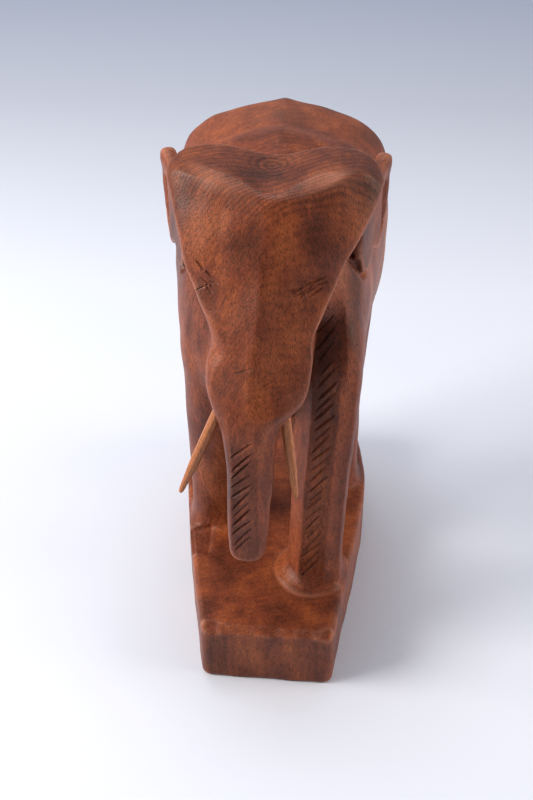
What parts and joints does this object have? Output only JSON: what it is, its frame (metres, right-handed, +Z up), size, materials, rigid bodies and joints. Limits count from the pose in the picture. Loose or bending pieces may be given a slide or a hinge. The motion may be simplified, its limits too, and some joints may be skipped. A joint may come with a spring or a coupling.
{
  "type": "carved wooden elephant figurine",
  "caption": "Small walking elephant carved with its block base from one piece of reddish-brown hardwood, trunk hanging down, with two separate pale sliver tusks.",
  "frame": {"origin": "centre of the footprint, on the underside of the base", "axes": "+Z up; the elephant faces -Y; +X is the elephant's left side, the viewer's right from in front"},
  "size_m": [0.0576, 0.104, 0.1419],
  "materials": {
    "hardwood": "satin, hand-carved reddish-brown hardwood",
    "pale_wood": "plain whittled pale wood"
  },
  "bodies": {
    "root": {"carved_elephant": "hardwood", "right_tusk": "pale_wood", "left_tusk": "pale_wood"}
  },
  "joints": []
}
